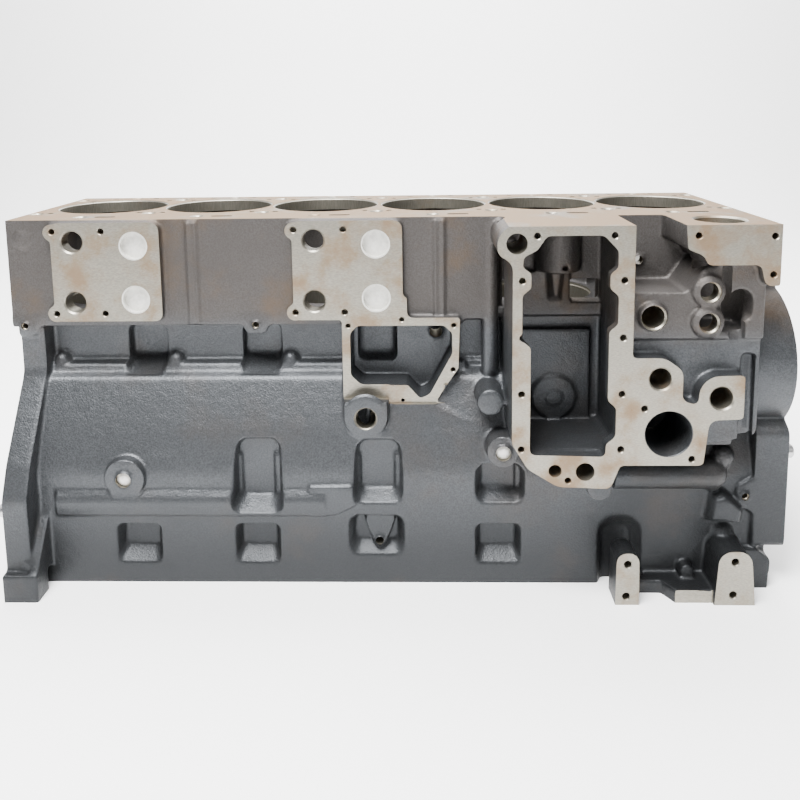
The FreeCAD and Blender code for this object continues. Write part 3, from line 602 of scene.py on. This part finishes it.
def turned(profile, centre, direction):
    """A closed turned solid: profile is (depth below centre, radius), from top to bottom."""
    solid = bmesh.new()
    side = direction.orthogonal().normalized()
    across = direction.cross(side)
    count = segments_for(max(radius for _, radius in profile))
    rings = []
    for depth, radius in profile:
        ring = []
        for k in range(count):
            turn = k * math.tau / count
            out = side * math.cos(turn) + across * math.sin(turn)
            ring.append(solid.verts.new(centre - direction * depth + out * radius))
        rings.append(ring)
    for one, two in zip(rings, rings[1:]):
        for k in range(count):
            solid.faces.new((one[k - 1], one[k], two[k], two[k - 1]))
    solid.faces.new(rings[0])
    solid.faces.new(rings[-1][::-1])
    bmesh.ops.recalc_face_normals(solid, faces=solid.faces)
    mesh = bpy.data.meshes.new("turned")
    solid.to_mesh(mesh)
    solid.free()
    return mesh


def clean_steps(profile):
    """The profile without doubled points."""
    kept = [profile[0]]
    for point in profile[1:]:
        if abs(point[0] - kept[-1][0]) + abs(point[1] - kept[-1][1]) > 2e-5:
            kept.append(point)
    return kept


def drill(profile, centre, direction):
    """What the drill takes away: the hole itself and the way in to it."""
    return turned([(-WAY_IN, profile[0][1])] + clean_steps(profile), centre, direction)


def stopper(profile, centre, direction, allowance):
    """Metal that fills a hole while the skin is softened."""
    margin, shallow = 0.0008, 0.003
    widest = max(radius for _, radius in profile) + margin
    bottom = profile[-1][0] - (BREAKTHROUGH if profile[-1][0] > shallow else 0.0)
    return turned([(-allowance, widest), (bottom, widest)], centre, direction)


def slab(low, high):
    """A closed box between two corners, in metres."""
    solid = bmesh.new()
    bmesh.ops.create_cube(solid, size=1.0)
    for corner in solid.verts:
        corner.co = Vector(low[i] if corner.co[i] < 0 else high[i] for i in range(3))
    mesh = bpy.data.meshes.new("slab")
    solid.to_mesh(mesh)
    solid.free()
    return mesh


def backing():
    """Metal that the skin gets besides the casting's: behind thin pockets and on the tongue."""
    bodies = [slab(Vector(low) * MM, Vector(high) * MM) for low, high in POCKET_BACKS]
    low, high = TONGUE_BAR
    bodies.append(slab(Vector(low) * MM, Vector(high) * MM))
    disc = [(0.0, TONGUE_RADIUS * MM), (TONGUE_DEPTH * MM, TONGUE_RADIUS * MM)]
    bodies.append(turned(disc, Vector(TONGUE_DISC) * MM, -AXES["Y"]))
    return bodies


def reach(mesh):
    """Lowest and highest corner of a mesh."""
    low = Vector(min(v.co[i] for v in mesh.vertices) for i in range(3))
    high = Vector(max(v.co[i] for v in mesh.vertices) for i in range(3))
    return low, high


def apart(one, two):
    """True where two pairs of lowest and highest corners hold no common point."""
    return any(one[1][i] < two[0][i] or two[1][i] < one[0][i] for i in range(3))


def in_groups(meshes):
    """Sorts meshes into groups whose members don't touch each other."""
    groups = []
    for mesh in meshes:
        box = reach(mesh)
        for group in groups:
            if all(apart(box, other) for _, other in group):
                group.append((mesh, box))
                break
        else:
            groups.append([(mesh, box)])
    return [[mesh for mesh, _ in group] for group in groups]


def joined(meshes):
    """One mesh made of several, which are dropped."""
    whole = bmesh.new()
    for mesh in meshes:
        whole.from_mesh(mesh)
        bpy.data.meshes.remove(mesh)
    mesh = bpy.data.meshes.new("joined")
    whole.to_mesh(mesh)
    whole.free()
    return mesh


def apply_modifiers(obj):
    """Makes the object's modifiers permanent."""
    depsgraph = bpy.context.evaluated_depsgraph_get()
    mesh = bpy.data.meshes.new_from_object(obj.evaluated_get(depsgraph))
    obj.modifiers.clear()
    old = obj.data
    obj.data = mesh
    bpy.data.meshes.remove(old)


def modify(obj, kind, **settings):
    """Adds one modifier with its settings and makes it permanent."""
    modifier = obj.modifiers.new(kind.lower(), kind)
    for key, value in settings.items():
        setattr(modifier, key, value)
    apply_modifiers(obj)


def cut(obj, tool_mesh, material):
    """Cuts a closed mesh out of the object; the new faces take the material."""
    tool = new_object("tool", tool_mesh, material)
    modify(obj, "BOOLEAN", operation="DIFFERENCE", solver="MANIFOLD",
           material_mode="TRANSFER", object=tool)
    bpy.data.objects.remove(tool)
    bpy.data.meshes.remove(tool_mesh)


def shade(obj, angle=35):
    """Smooth shading with crisp edges where the surface turns sharply."""
    obj.data.polygons.foreach_set("use_smooth", [True] * len(obj.data.polygons))
    obj.data.set_sharp_from_angle(angle=math.radians(angle))


class BLOCK_OT_casting(bpy.types.Operator):
    """Makes the block casting: a softened sand-cast skin, then milled faces and drilled holes"""

    bl_idname = "block.casting"
    bl_label = "Block casting"

    def execute(self, context):
        settings = context.scene.block_casting
        bright, rust = settings.cut_iron, settings.rust
        finishes = {
            "cast": cast_iron("cast_iron_skin", settings.iron, rust),
            "deck": cut_iron("deck_face", Vector(bright) * 0.55, rust, 0.36, (1, 0.12, 1), 0.5),
            "milled": cut_iron("milled_face", bright, rust, 0.18, (0.3, 1, 1)),
            "bored": cut_iron("bored_wall", bright, rust, 0.0, (1, 1, 0.1)),
        }
        casting = welded("block_casting")
        tree = BVHTree.FromBMesh(casting)
        holes = []
        for centre, direction, rim in round_holes(casting):
            profile = hole_profile(tree, centre, direction, rim)
            if worth_drilling(profile, rim):
                holes.append((profile, centre, direction))
        add_allowance(casting, settings.allowance)
        raw = bpy.data.meshes.new("raw")
        casting.to_mesh(raw)
        casting.free()
        stoppers = [stopper(*hole, settings.allowance) for hole in holes]
        whole = joined([raw] + stoppers + backing())
        skin = new_object("casting_skin", whole, finishes["cast"])
        grain = settings.grain
        modify(skin, "REMESH", mode="VOXEL", voxel_size=grain)
        modify(skin, "SMOOTH", factor=0.5, iterations=settings.softening)
        share = settings.skin_faces / (2 * len(skin.data.polygons))
        modify(skin, "DECIMATE", ratio=min(1.0, share))
        skin.data.materials.clear()
        for finish in finishes.values():
            skin.data.materials.append(finish)
        for face in MACHINED_FACES:
            cut(skin, slab(*cut_box(face)), finishes[face[0]])
        bore = [(end, MAIN_BORE * MM) for end in BORE_ENDS]
        cut(skin, turned(bore, Vector(), AXES["X"]), finishes["bored"])
        wide = [hole for hole in holes if hole[0][0][1] > BORED_RADIUS]
        narrow = [hole for hole in holes if hole[0][0][1] <= BORED_RADIUS]
        cored = [hole for hole in narrow if hole[2].y < -0.9 and hole[0][0][1] > CORED_RADIUS]
        plain = [hole for hole in narrow if hole not in cored]
        for finish, drilled in (("bored", wide), ("cast", cored), ("milled", plain)):
            for group in in_groups([drill(*hole) for hole in drilled]):
                cut(skin, joined(group), finishes[finish])
        cut(skin, tongue_port(), finishes["bored"])
        shade(skin)
        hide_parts("block_casting")
        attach(skin, "root")
        return {"FINISHED"}


class BLOCK_OT_fittings(bpy.types.Operator):
    """Gives the caps, bolts, sleeves, bushes, plugs and dowels their finishes"""

    bl_idname = "block.fittings"
    bl_label = "Caps, bolts and plugs"

    def execute(self, context):
        settings = context.scene.block_fittings
        casting = context.scene.block_casting
        finishes = {
            "cap_iron": cast_iron("cap_iron", Vector(casting.iron) * 1.2, casting.rust),
            "bolt_steel": plated("bolt_oxide", settings.bolt_black, 0.42, 0.6),
            "dowel_steel": plated("ground_steel", settings.steel, 0.3, 1.0),
            "bush_bronze": plated("bored_bronze", settings.bronze, 0.35, 1.0),
            "plug_steel": plated("dull_zinc", settings.plug_zinc, 0.5, 0.35),
        }
        slots = {row["node"]: row["material_slot"] for row in frame["record"]["subparts"]}
        for name, obj in frame["nodes"].items():
            if slots[name] in finishes:
                obj.data.materials.clear()
                obj.data.materials.append(finishes[slots[name]])
        return {"FINISHED"}


class BLOCK_OT_stage(bpy.types.Operator):
    """Makes the pale floor, the soft lights and the camera"""

    bl_idname = "block.stage"
    bl_label = "Stage"

    def execute(self, context):
        settings = context.scene.block_stage
        paper = Shader("pale_paper")
        glow = {"Emission Color": (1, 1, 1, 1), "Emission Strength": 0.2}
        paper.finish({"Base Color": rgba(settings.floor), "Roughness": 0.9} | glow)
        ground = cad_low.z
        sweep = bmesh.new()
        outline = [(PAPER_FRONT, 0.0), (PAPER_BEND, 0.0)]
        for k in range(1, BEND_STEPS + 1):
            turn = k * math.pi / (2 * BEND_STEPS)
            outline.append((PAPER_BEND + PAPER_RADIUS * math.sin(turn),
                            PAPER_RADIUS - PAPER_RADIUS * math.cos(turn)))
        outline.append((PAPER_BEND + PAPER_RADIUS, PAPER_TOP))
        rows = []
        for y, z in outline:
            ends = (-PAPER_HALF, PAPER_HALF)
            rows.append([sweep.verts.new((x, y, ground + z)) for x in ends])
        for one, two in zip(rows, rows[1:]):
            sweep.faces.new((one[0], one[1], two[1], two[0]))
        mesh = bpy.data.meshes.new("floor")
        sweep.to_mesh(mesh)
        sweep.free()
        floor = new_object("floor", mesh, paper.material)
        shade(floor)
        # Name, place, aim, size in metres and power in watts
        lamps = (
            ("key", (-0.35, -0.8, 1.8), (0, 0, 0.1), 0.9, 145.0),
            ("fill", (1.3, -2.3, 1.6), (0.1, 0, 0.1), 1.0, 8.0),
            ("top", (0.3, 0.6, 2.1), (0, 0, 0.3), 1.6, 20.0),
            ("back", (0.0, 1.2, 2.8), (0, 2.9, 0.6), 2.4, 330.0),
            ("ground", (0.0, -1.2, 3.0), (0, -1.5, -0.1), 2.0, 60.0),
        )
        for name, place, target, size, power in lamps:
            lamp = bpy.data.lights.new(name, "AREA")
            lamp.shape = "SQUARE"
            lamp.size = size
            lamp.energy = power
            light = bpy.data.objects.new(name, lamp)
            light.location = place
            aim = Vector(target) - light.location
            light.rotation_euler = aim.to_track_quat("-Z", "Y").to_euler()
            context.collection.objects.link(light)
        world = bpy.data.worlds.new("studio")
        world.use_nodes = True
        sky = world.node_tree.nodes["Background"]
        sky.inputs["Color"].default_value = (1, 1, 1, 1)
        sky.inputs["Strength"].default_value = 0.45
        context.scene.world = world
        lens = bpy.data.cameras.new("camera")
        lens.lens = settings.camera_lens
        lens.sensor_width = 36.0
        lens.shift_y = settings.camera_shift
        camera = bpy.data.objects.new("camera", lens)
        turn = Matrix.Rotation(-settings.camera_turn, 4, "Z")
        pitch = Matrix.Rotation(math.pi / 2 - settings.camera_down, 4, "X")
        roll = Matrix.Rotation(-settings.camera_roll, 4, "Z")
        camera.matrix_world = Matrix.Translation(settings.camera_at) @ turn @ pitch @ roll
        context.collection.objects.link(camera)
        context.scene.camera = camera
        return {"FINISHED"}


class BLOCK_PT_sidebar(bpy.types.Panel):
    """Lists the pieces of the engine block and their settings"""

    bl_label = "Engine block"
    bl_idname = "BLOCK_PT_sidebar"
    bl_space_type = "VIEW_3D"
    bl_region_type = "UI"
    bl_category = "Engine block"

    def draw(self, context):
        groups = (
            (context.scene.block_casting, BLOCK_OT_casting),
            (context.scene.block_fittings, BLOCK_OT_fittings),
            (context.scene.block_stage, BLOCK_OT_stage),
        )
        for settings, operator in groups:
            box = self.layout.box()
            for key in settings.__annotations__:
                box.prop(settings, key)
            box.operator(operator.bl_idname)


CLASSES = (
    CastingSettings,
    FittingSettings,
    StageSettings,
    BLOCK_OT_casting,
    BLOCK_OT_fittings,
    BLOCK_OT_stage,
    BLOCK_PT_sidebar,
)


def register():
    for cls in CLASSES:
        bpy.utils.register_class(cls)
    bpy.types.Scene.block_casting = bpy.props.PointerProperty(type=CastingSettings)
    bpy.types.Scene.block_fittings = bpy.props.PointerProperty(type=FittingSettings)
    bpy.types.Scene.block_stage = bpy.props.PointerProperty(type=StageSettings)


def unregister():
    del bpy.types.Scene.block_casting
    del bpy.types.Scene.block_fittings
    del bpy.types.Scene.block_stage
    for cls in reversed(CLASSES):
        bpy.utils.unregister_class(cls)


def main():
    register()
    bpy.ops.block.casting()
    bpy.ops.block.fittings()
    bpy.ops.block.stage()


if __name__ == "__main__":
    main()
